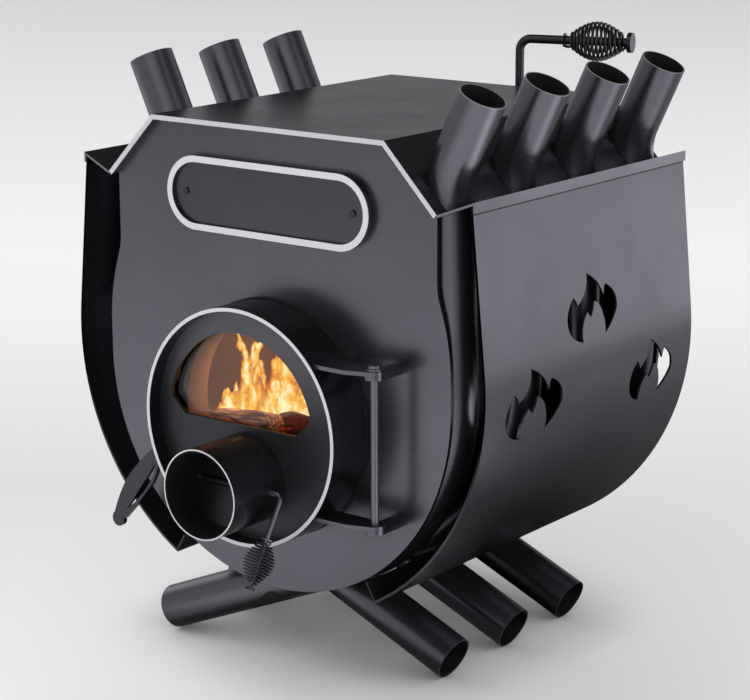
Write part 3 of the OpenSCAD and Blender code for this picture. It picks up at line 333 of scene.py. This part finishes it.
LOOKS = {
    paint_plain: ("face_plate", "back_plate", "hinge_arms", "hinge_lugs", "latch_boss", "latch_keeper"),
    paint_roof: ("hob_plate", "roof_slope_left", "roof_slope_right"),
    paint_shelf: ("gutter_shelf_left", "gutter_shelf_right"),
    paint_casing: ("casing_left", "casing_right"),
    strip_shade_paint: ("casing_strip_left", "casing_strip_right"),
    paint_tube[1]: ["convection_tube_%d" % i for i in (1, 3, 5, 7)],
    paint_tube[-1]: ["convection_tube_%d" % i for i in (2, 4, 6)],
    paint_ring: ("door_ring",),
    paint_door: ("door_plate",),
    paint_pipe: ("intake_pipe", "throttle_bosses"),
    paint_spigot: ("flue_spigot",),
    paint_nameplate: ("nameplate",),
    paint_rim: ("nameplate_rim",),
    soot: ("firebox_shell", "baffle_plate", "door_collar"),
    ceramic_glass(): ("window_glass",),
    tape: ("window_gasket",),
    rope: ("rope_seal",),
    bare_steel: ("throttle_lever", "window_clips", "clip_screws", "hinge_rod", "hinge_washer", "latch_shaft"),
    black_steel: ("throttle_disc", "throttle_spring", "throttle_cap", "latch_handle", "latch_cam", "damper_bosses",
                  "damper_disc", "damper_lever", "damper_spring", "damper_cap", "nameplate_screws"),
}


def dress(o, look):
    o.data.materials.clear()
    o.data.materials.append(look)


for look, names in LOOKS.items():
    for name in names:
        dress(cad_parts[name], look)


# New pieces

def linked(name, mesh, look):
    """An object in the scene, made of this mesh."""
    data = bpy.data.meshes.new(name)
    mesh.to_mesh(data)
    mesh.free()
    o = bpy.data.objects.new(name, data)
    bpy.context.scene.collection.objects.link(o)
    dress(o, look)
    return o


def add_piece(name, mesh, look, body):
    """A smooth closed piece that moves with a body."""
    bmesh.ops.recalc_face_normals(mesh, faces=mesh.faces)
    for face in mesh.faces:
        face.smooth = True
    o = linked(name, mesh, look)
    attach(o, body)
    return o


# Spring handles: the same wire as the drawing's, with finer curls

WIRE_SIDES = 12


def wire_along(points, radius):
    """One closed round wire along points, with flat ends."""
    mesh = bmesh.new()
    rings = []
    normal = None
    for i, p in enumerate(points):
        along = (points[min(i + 1, len(points) - 1)] - points[max(i - 1, 0)]).normalized()
        if normal is None:
            normal = along.orthogonal().normalized()
        normal = (normal - normal.dot(along) * along).normalized()
        facing = Matrix((normal, normal.cross(along), -along)).transposed().to_4x4()
        ring = bmesh.ops.create_circle(mesh, cap_ends=i in (0, len(points) - 1), segments=WIRE_SIDES, radius=radius,
                                       matrix=Matrix.Translation(p) @ facing)["verts"]
        rings.append(list(dict.fromkeys(e for v in ring for e in v.link_edges)))
    for a, b in zip(rings, rings[1:]):
        bmesh.ops.bridge_loops(mesh, edges=a + b)
    return mesh


def spring_line(length, r0, r1, r_mid, wire, curls, per_curl=28):
    """The wire's middle line in millimetres, from the seat at height 0 to the seat at height length."""
    lead, steps = 2 * wire, curls * per_curl
    turn0, turn1 = wire / r0, wire / r1
    whole = turn0 + 2 * math.pi * curls
    line = [(0, r0, 0)]
    for b in map(math.radians, range(0, 90, 15)):
        line.append((turn0 * (1 - math.cos(b)), r0, wire * (1 + math.sin(b))))
    for i in range(steps + 1):
        t = i / steps
        line.append((turn0 + 2 * math.pi * curls * t,
                     r0 + (r1 - r0) * t + (r_mid - (r0 + r1) / 2) * math.sin(math.pi * t),
                     lead + (length - 2 * lead) * t))
    for b in map(math.radians, range(75, -1, -15)):
        line.append((whole + turn1 * math.cos(b), r1, length - wire * (1 + math.sin(b))))
    line.append((whole + turn1, r1, length))
    return [Vector((r * math.cos(a), r * math.sin(a), z)) for a, r, z in line]


def spring_handle(name, node, body, place, wire, outer, **shape):
    """The wire that shows in a drawn spring's place; outer is the widest curl's diameter in millimetres."""
    line = spring_line(wire=wire, r_mid=(outer - wire) / 2, **shape)
    mesh = wire_along([place @ (MM * p) for p in line], wire / 2 * MM)
    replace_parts(add_piece(name, mesh, black_steel, body), node)


# Middle of each bent rod, how far it is turned at rest, and where its spring begins, in millimetres
DAMPER_AT, DAMPER_TURN, DAMPER_SEAT = (0, 543, 743), math.radians(15), 65
spring_handle("damper_spring_wire", "damper_spring", "damper",
              Matrix.Translation(row(*DAMPER_AT)) @ Matrix.Rotation(DAMPER_TURN, 4, "Z")
              @ Matrix.Translation((DAMPER_SEAT * MM, 0, 0)) @ Matrix.Rotation(math.radians(90), 4, "Y"),
              wire=3.8, outer=54, length=88, r0=8.5, r1=10.3, curls=13)
THROTTLE_AT, THROTTLE_TURN, THROTTLE_SIDE = (0, -68.5, INTAKE_Z), math.radians(-27), 80
THROTTLE_LEAN, THROTTLE_SEAT = math.radians(4), 56
spring_handle("throttle_spring_wire", "throttle_spring", "throttle",
              Matrix.Translation(row(*THROTTLE_AT)) @ Matrix.Rotation(THROTTLE_TURN, 4, "X")
              @ Matrix.Translation((THROTTLE_SIDE * MM, 0, 0)) @ Matrix.Rotation(THROTTLE_LEAN, 4, "Y")
              @ Matrix.Translation((0, 0, -THROTTLE_SEAT * MM)) @ Matrix.Rotation(math.pi, 4, "X"),
              wire=2.2, outer=38, length=58, r0=7.5, r1=5.5, curls=13)


# Contents of the firebox: logs and flames, seen through the pane. They are no pieces of the stove

# Real sizes in millimetres: the bark's furrows, its flakes, and the patches of ember
FURROW, FLAKE, EMBER = 4.2, 16, 30


def bark(name, tone, deep, glow):
    """Rough bark in long furrows, with embers glowing in the deepest ones."""
    t = material(name)
    long = t.add("Mapping", {"Vector": t.at, "Scale": (0.14, 1, 1)})
    furrows = t.add("TexNoise", {"Vector": long, "Scale": 1000 / FURROW, "Detail": 4, "Roughness": 0.65,
                                 "Distortion": 0.4})
    longish = t.add("Mapping", {"Vector": t.at, "Scale": (0.5, 1, 1)})
    flakes = t.add("TexNoise", {"Vector": longish, "Scale": 1000 / FLAKE, "Detail": 3})
    tint = t.add("Mix", {0: t.add("MapRange", (flakes, 0.35, 0.65)), 6: colour(tone), 7: colour(tone, 0.6)},
                 out=2, data_type="RGBA")
    base = t.add("Mix", {0: t.add("MapRange", (furrows, 0.46, 0.53)), 6: colour(deep), 7: tint},
                 out=2, data_type="RGBA")
    embers = t.add("TexNoise", {"Vector": t.at, "Scale": 1000 / EMBER, "Detail": 2})
    heat = t.add("Math", (t.add("MapRange", (furrows, 0.42, 0.34)), t.add("MapRange", (embers, 0.5, 0.62))),
                 operation="MULTIPLY")
    return t.close(t.add("BsdfPrincipled", {
        "Base Color": base, "Roughness": 0.85, "Emission Color": colour("#c8381c"),
        "Emission Strength": t.add("Math", (heat, glow), operation="MULTIPLY"),
        "Normal": t.add("Bump", {"Height": furrows, "Strength": 0.9, "Distance": 2 * MM})}))


LOG_STEPS, LOG_SIDES = 26, 28


def log(name, a, b, radius, look, seed):
    """A log between two places, with a lumpy skin, knots and narrower ends."""
    rng = random.Random(seed)
    knots = [(rng.uniform(0, 2 * math.pi), rng.uniform(0.15, 0.85), rng.uniform(0.05, 0.12)) for _ in range(4)]
    start, end = row(*a), row(*b)
    along = (end - start).normalized()
    normal = along.orthogonal().normalized()
    side = along.cross(normal)
    mesh = bmesh.new()
    bmesh.ops.create_cone(mesh, cap_ends=True, segments=LOG_SIDES, radius1=1, radius2=1, depth=1)
    lengthwise = [e for e in mesh.edges if abs(e.verts[0].co.z - e.verts[1].co.z) > 0.5]
    bmesh.ops.subdivide_edges(mesh, edges=lengthwise, cuts=LOG_STEPS - 1)
    for vert in mesh.verts:
        u, v = 0.5 - vert.co.z, math.atan2(vert.co.y, vert.co.x)
        r = 1 + 0.05 * math.sin(3 * v + seed) + 0.03 * math.sin(7 * v + 5 * u + seed)
        for kv, ku, size in knots:
            r += size * math.exp(-((u - ku) / 0.1) ** 2 - ((math.cos(v - kv) - 1) / 0.25) ** 2)
        if abs(u - 0.5) > 0.499:
            r *= 0.94
        bow = 0.06 * math.sin(math.pi * u)
        vert.co = (start.lerp(end, u) + r * radius * MM * (math.cos(v) * normal + math.sin(v) * side)
                   + Vector((0, 0, bow * radius * MM)))
    add_piece(name, mesh, look, "stove")


bark_grey = bark("grey_brown_bark", "#746c72", "#1c1010", 0.3)
bark_red = bark("charred_bark_with_embers", "#351a1b", "#120404", 1.0)
log("log_front", (-178, 54, 283), (-34, 54, 296), 20, bark_grey, 3)
log("log_right", (-50, 96, 282), (96, 56, 286), 25, bark_red, 5)
log("log_low_left", (-92, 70, 226), (-84, 330, 228), 38, bark_red, 8)
log("log_low_middle", (0, 66, 212), (6, 340, 213), 42, bark_red, 11)
log("log_low_right", (90, 70, 226), (86, 330, 228), 38, bark_red, 14)
log("log_back", (-120, 180, 284), (90, 210, 286), 30, bark_grey, 17)

# Real sizes in millimetres: a flame's bends, its small licks, and its streaks
WARP, LICK, STREAK = 38, 13, 8
# From the thin rim of a flame to its hot core
FLAME_COLOURS = ((0.0, "#84492e"), (0.13, "#b9602e"), (0.25, "#ea9a34"), (0.44, "#f8cb4c"), (0.80, "#fff9dc"))


def fire(name, sideways, foot, tongues, seed):
    """Emission in the shape of flame tongues on an upright sheet: red-brown rims, yellow inside, white cores.

    sideways is the sheet's level direction, and each tongue is (middle, height, width, sway) in millimetres.
    """
    t = material(name)
    u = t.add("VectorMath", (t.at, sideways), out="Value", operation="DOT_PRODUCT")
    u = t.add("Math", (u, sideways.dot(foot)), operation="SUBTRACT")
    u = t.add("Math", (u, 1 / MM), operation="MULTIPLY")
    v = t.add("Math", (t.add("SeparateXYZ", (t.at,), out="Z"), foot.z), operation="SUBTRACT")
    v = t.add("Math", (v, 1 / MM), operation="MULTIPLY")
    shifted = t.add("VectorMath", (t.at, (seed * 1.7, seed * 0.9, seed * 2.3)), operation="ADD")
    flow = t.add("Mapping", {"Vector": shifted, "Scale": (1, 1, 0.45)})
    warp = t.add("TexNoise", {"Vector": flow, "Scale": 1000 / WARP, "Detail": 2, "Roughness": 0.55})
    lick = t.add("TexNoise", {"Vector": flow, "Scale": 1000 / LICK, "Detail": 2, "Roughness": 0.55})
    streak = t.add("TexNoise", {"Vector": flow, "Scale": 1000 / STREAK, "Detail": 4, "Roughness": 0.55,
                                "Distortion": 0.9})
    u = t.add("Math", (u, t.add("MapRange", (warp, LOW, HIGH, -11, 11))), operation="ADD")
    u = t.add("Math", (u, t.add("MapRange", (lick, LOW, HIGH, -4.5, 4.5))), operation="ADD")
    body = None
    for middle, height, width, sway in tongues:
        level = t.add("Math", (v, height), operation="DIVIDE")
        wave = t.add("Math", (t.add("Math", (level, 3.0 + 0.3 * seed), operation="MULTIPLY"),), operation="SINE")
        line = t.add("Math", (wave, sway, middle), operation="MULTIPLY_ADD")
        away = t.add("Math", (t.add("Math", (u, line), operation="SUBTRACT"),), operation="ABSOLUTE")
        taper = t.add("Math", (t.add("Math", (1.0, level), operation="SUBTRACT"), 0.0), operation="MAXIMUM")
        room = t.add("Math", (t.add("Math", (taper, 0.8), operation="POWER"), width), operation="MULTIPLY")
        share = t.add("Math", (away, t.add("Math", (room, 0.01), operation="MAXIMUM")), operation="DIVIDE")
        inside = t.add("Math", (t.add("Math", (1.0, share), operation="SUBTRACT"), 0.0), operation="MAXIMUM")
        body = inside if body is None else t.add("Math", (body, inside), operation="MAXIMUM")
    heat = t.add("Math", (t.add("Math", (body, 0.75), operation="POWER"),
                          t.add("MapRange", (streak, 0.28, 0.72, 0.12, 1.2))), operation="MULTIPLY")
    tint = t.add("ValToRGB", (heat,))
    ramp = tint.node.color_ramp
    for _ in FLAME_COLOURS[2:]:
        ramp.elements.new(0.5)
    for stop, (place, tone) in zip(ramp.elements, FLAME_COLOURS):
        stop.position, stop.color = place, colour(tone)
    glow = t.add("Emission", {"Color": tint, "Strength": t.add("MapRange", (heat, 0.3, 1, 1, 1.25))})
    shown = t.add("MapRange", (heat, 0.02, 0.32))
    return t.close(t.add("MixShader", (shown, t.add("BsdfTransparent"), glow)))


# Steps along a sheet, and in millimetres how far its ends lie back and how thick it is
SHEET_STEPS, SHEET_CURVE, SHEET_THICKNESS = 24, 10, 0.5


def flame_sheet(name, at, left, right, height, tongues, seed, turn=AZIMUTH):
    """An upright sheet of flames that faces the photograph's camera or the given turn, its ends curved a little."""
    sideways = Vector((math.cos(turn), math.sin(turn), 0))
    away = Vector((-math.sin(turn), math.cos(turn), 0))
    foot = row(*at)
    mesh = bmesh.new()
    bmesh.ops.create_grid(mesh, x_segments=SHEET_STEPS, y_segments=1, size=1)
    for vert in mesh.verts:
        along = left + (right - left) * (vert.co.x + 1) / 2
        up = height * (vert.co.y + 1) / 2
        back = SHEET_CURVE * min(abs(along / left), 1.0) ** 2
        vert.co = foot + MM * (along * sideways + back * away + Vector((0, 0, up)))
    made = bmesh.ops.extrude_face_region(mesh, geom=mesh.faces[:])["geom"]
    rear = [g for g in made if isinstance(g, bmesh.types.BMVert)]
    bmesh.ops.translate(mesh, vec=SHEET_THICKNESS * MM * away, verts=rear)
    add_piece(name, mesh, fire(name + "_fire", sideways, foot, tongues, seed), "stove")


flame_sheet("flames_front", (-52, 100, 284), -100, 215, 130,
            [(-58, 128, 26, 8), (-76, 52, 38, 4), (0, 128, 40, -6), (30, 135, 56, 8), (60, 112, 50, -6),
             (-20, 62, 50, 5), (104, 96, 46, 6), (144, 84, 40, -6), (172, 52, 26, 4)], 1)
flame_sheet("flames_middle", (-62, 124, 282), -105, 220, 130,
            [(-44, 118, 24, -8), (26, 128, 50, 8), (58, 132, 60, -7), (88, 110, 50, 6), (126, 104, 46, -6),
             (166, 60, 34, 5)], 2)
flame_sheet("flames_back", (-74, 152, 280), -110, 220, 120,
            [(-50, 90, 26, 6), (6, 118, 50, -8), (44, 120, 60, 8), (84, 112, 50, -6), (-80, 50, 26, 4),
             (130, 96, 44, 6), (168, 66, 34, -4)], 3)
# Two more for a look through the pane from its other side, out of the photograph's view
flame_sheet("flames_side_front", (66, 128, 284), -80, 80, 130,
            [(-38, 112, 36, 6), (-4, 130, 44, -6), (34, 100, 38, 6), (12, 62, 44, 5)], 4, turn=-AZIMUTH)
flame_sheet("flames_side_back", (60, 172, 282), -90, 90, 120,
            [(-50, 84, 30, 5), (-14, 116, 44, -7), (30, 112, 44, 6)], 5, turn=-AZIMUTH)


# Stage: pale sweep behind and under the stove

# Places and reaches in metres
FLOOR_FRONT, FLOOR_REAR, SWEEP_R, SWEEP_TOP, SWEEP_HALF = -6.0, 1.8, 1.6, 7.0, 9.0
SHADE_REACH = 0.2
VEIL_HALF, VEIL_DROP = 6, 0.002
STOVE_HALF_WIDTH, STOVE_HALF_DEPTH = 0.3, 0.26
# Steps of the curve, and the size in millimetres of the clouds in the paper's gloss
SWEEP_STEPS = 15
PAPER_CLOUDS = 900


def backdrop_paper():
    """Matt paper that glows by itself, as painted light that is darker in front of the stove and higher up and
    brighter to the sides in front, with painted shade under the stove, and open when seen from behind.
    """
    t = material("pale_backdrop")
    depth = t.add("VectorMath", (t.at, (-math.sin(AZIMUTH), math.cos(AZIMUTH), 0)), out="Value",
                  operation="DOT_PRODUCT")
    aside = t.add("VectorMath", (t.at, (math.cos(AZIMUTH), math.sin(AZIMUTH), 0)), out="Value",
                  operation="DOT_PRODUCT")
    aside = t.add("Math", (t.add("Math", (aside, 0.1), operation="SUBTRACT"),), operation="ABSOLUTE")
    height = t.add("SeparateXYZ", (t.at,), out="Z")
    lit = t.add("Math", (t.add("MapRange", (depth, -0.4, 1.8, 0.49, 0.76)),
                         t.add("MapRange", (height, 0.05, 0.6, 0, 0.33))), operation="SUBTRACT")
    lit = t.add("Math", (t.add("MapRange", (aside, 0.15, 0.6)), t.add("MapRange", (depth, 0.6, -0.3, 0, 0.22)), lit),
                operation="MULTIPLY_ADD")
    # The stove's own soft shade on the floor
    open_sky = t.add("AmbientOcclusion", {"Distance": SHADE_REACH}, out="AO")
    lit = t.add("Math", (lit, t.add("MapRange", (open_sky, 0.2, 0.9, 0.12, 1))), operation="MULTIPLY")
    clouds = t.add("TexNoise", {"Vector": t.at, "Scale": 1000 / PAPER_CLOUDS, "Detail": 1})
    paper = t.add("BsdfPrincipled", {
        "Base Color": colour("#b4b4b6"), "Roughness": t.add("MapRange", (clouds, LOW, HIGH, 0.5, 0.55)),
        "Specular IOR Level": 0, "Emission Color": colour("#ffffff"), "Emission Strength": lit})
    reverse = t.add("NewGeometry", out="Backfacing")
    return t.close(t.add("MixShader", (reverse, paper, t.add("BsdfTransparent"))))


def sweep():
    """Floor that rises into a backdrop in one soft curve, facing the camera."""
    mesh = bmesh.new()
    ends = [mesh.verts.new((x, FLOOR_FRONT, 0)) for x in (-SWEEP_HALF, SWEEP_HALF)]
    edge = mesh.edges.new(ends)

    def far_edge(made):
        """The new edge from side to side."""
        return next(g for g in made if isinstance(g, bmesh.types.BMEdge)
                    and abs(g.verts[0].co.x - g.verts[1].co.x) > SWEEP_HALF)
    edge = far_edge(bmesh.ops.extrude_edge_only(mesh, edges=[edge])["geom"])
    bmesh.ops.translate(mesh, vec=(0, FLOOR_REAR - FLOOR_FRONT, 0), verts=list(edge.verts))
    edge = far_edge(bmesh.ops.spin(mesh, geom=[edge, *edge.verts], cent=(0, FLOOR_REAR, SWEEP_R), axis=(1, 0, 0),
                                   angle=math.radians(90), steps=SWEEP_STEPS)["geom_last"])
    edge = far_edge(bmesh.ops.extrude_edge_only(mesh, edges=[edge])["geom"])
    bmesh.ops.translate(mesh, vec=(0, 0, SWEEP_TOP - SWEEP_R), verts=list(edge.verts))
    bmesh.ops.recalc_face_normals(mesh, faces=mesh.faces)
    mesh.normal_update()
    # The shown side faces the stove; the floor part comes first
    mesh.faces.ensure_lookup_table()
    if mesh.faces[0].normal.z < 0:
        bmesh.ops.reverse_faces(mesh, faces=mesh.faces)
    for face in mesh.faces:
        face.smooth = True
    bmesh.ops.rotate(mesh, cent=(0, 0, 0), matrix=Matrix.Rotation(AZIMUTH, 3, "Z"), verts=mesh.verts)
    o = linked("sweep", mesh, backdrop_paper())
    o.visible_glossy = False
    o.visible_diffuse = False


sweep()


def shaded_floor():
    """What the paint mirrors from the floor: dark under the stove and brighter further out."""
    t = material("shaded_floor")
    x, y = (t.add("SeparateXYZ", (t.at,), out=axis) for axis in "XY")
    far = t.add("VectorMath", (t.at,), out="Value", operation="LENGTH")
    rearwards = t.add("VectorMath", (t.at, (0.15, 0.99, 0)), out="Value", operation="DOT_PRODUCT")
    behind = t.add("MapRange", (t.add("Math", (rearwards, far), operation="DIVIDE"), 0.2, 0.7))
    # How many times the stove's half width or half depth away
    wide = t.add("Math", (t.add("Math", (x,), operation="ABSOLUTE"), STOVE_HALF_WIDTH), operation="DIVIDE")
    deep = t.add("Math", (t.add("Math", (y,), operation="ABSOLUTE"), STOVE_HALF_DEPTH), operation="DIVIDE")
    outside = t.add("Math", (wide, deep), operation="MAXIMUM")
    left_light = t.add("MapRange", (outside, 1.4, 3.6, t.add("MapRange", (outside, 0.75, 1.2, 0.05, 0.75)), 1))
    right_light = t.add("MapRange", (far, 0.45, 0.85, 0.06, 1))
    front_light = t.add("MapRange", (x, -0.15, 0.2, left_light, right_light))
    front_light = t.add("Math", (front_light, t.add("MapRange", (far, 2.2, 4.2, 1, 0.55))), operation="MULTIPLY")
    distant = t.add("Math", (t.add("MapRange", (far, 1.9, 3.6)), 2), operation="POWER")
    rear_light = t.add("Math", (t.add("MapRange", (far, 0.25, 1.4, 0, 0.2)), distant), operation="ADD")
    rear_light = t.add("Math", (rear_light, 1.15), operation="MINIMUM")
    veil = t.add("BsdfTransparent", {"Color": t.add("MapRange", (behind, 0, 1, front_light, rear_light))})
    return t.close(veil)


def floor_in_reflections():
    """A veil just under the floor that only mirrored and scattered light meets."""
    mesh = bmesh.new()
    bmesh.ops.create_grid(mesh, x_segments=1, y_segments=1, size=VEIL_HALF,
                          matrix=Matrix.Translation((0, 0, -VEIL_DROP)))
    o = linked("floor_in_reflections", mesh, shaded_floor())
    o.visible_camera = False
    o.visible_shadow = False


floor_in_reflections()


# Lights

def light(name, at, aim, size, watts, tint="#ffffff"):
    data = bpy.data.lights.new(name, "AREA")
    data.shape = "RECTANGLE"
    data.size, data.size_y = size
    data.energy = watts
    data.color = colour(tint)[:3]
    o = bpy.data.objects.new(name, data)
    bpy.context.scene.collection.objects.link(o)
    o.location = at
    o.rotation_euler = (Vector(aim) - Vector(at)).to_track_quat("-Z", "Y").to_euler()
    return o


light("overhead_softbox", (-1.2, -1.6, 3.4), (0, 0, 0.3), (2.2, 2.2), 22)

# The fire's own light on the firebox walls and logs, as (at, aim, watts)
FIRE_LIGHTS = (((-70, 60, 350), (-240, 190, 380), 0.5),
               ((-20, 260, 420), (-217, 180, 290), 2.2),
               ((-20, 100, 400), (-60, 90, 300), 0.5),
               ((-90, 0, 340), (-70, 74, 280), 0.04))
for number, (at, aim, watts) in enumerate(FIRE_LIGHTS, 1):
    glow = light("fire_glow_%d" % number, row(*at), row(*aim), (0.06, 0.06), watts, tint="#ffb183")
    glow.visible_camera = False
    glow.visible_glossy = False


# Strength of the studio where the camera looks past the backdrop
BEYOND_THE_BACKDROP = 0.88


def studio():
    """Soft studio light: a bright band round the horizon, dim overhead and below, with brighter quarters."""
    t = Nodes(bpy.data.worlds.new("soft_studio"), "OutputWorld", "Generated")

    def towards(direction, low, high, to_low, to_high):
        """A soft step in the cosine between the sky's direction and the given one."""
        cosine = t.add("VectorMath", (t.at, Vector(direction).normalized()), out="Value", operation="DOT_PRODUCT")
        return t.add("MapRange", (cosine, low, high, to_low, to_high), interpolation_type="SMOOTHSTEP")

    overhead, rear_side = (0, 0, 1), (0.35, 0.94, 0)
    # Shares of it: overhead, below, the rear left, the front right, and the rear, which is brightest low down
    dimmed = (towards(overhead, 0.27, 0.5, 1, 0.06), towards(overhead, -1, -0.75, 0.1, 1),
              towards((-0.6, 0.77, 0), 0.4, 0.95, 1.35, 0.56), towards((0.85, -0.5, -0.15), 0.85, 0.99, 1, 0.4),
              t.add("Math", (towards(rear_side, 0, 0.5, 0, 1), towards(overhead, -0.15, 0.1, 1.12, 0.3), 1),
                    operation="MULTIPLY_ADD"))
    strength = towards(overhead, -0.36, 0, 1, 0.44)
    for share in dimmed:
        strength = t.add("Math", (strength, share), operation="MULTIPLY")
    # Soft boxes to the left, in front and to the right
    for box in (towards((-0.9, 0.25, 0.36), 0.93, 1, 0, 1), towards((0.56, -0.77, 0.25), 0.8, 1, 0, 0.65),
                towards((0.97, 0, 0.28), 0.93, 1, 0, 1.6)):
        strength = t.add("Math", (strength, box), operation="ADD")
    # Seen straight on, the studio is as pale as the backdrop
    direct = t.add("LightPath", out="Is Camera Ray")
    strength = t.add("MapRange", (direct, 0, 1, strength, BEYOND_THE_BACKDROP))
    return t.close(t.add("Background", {"Color": colour("#fafaff"), "Strength": strength}))


world = studio()
bpy.context.scene.world = world
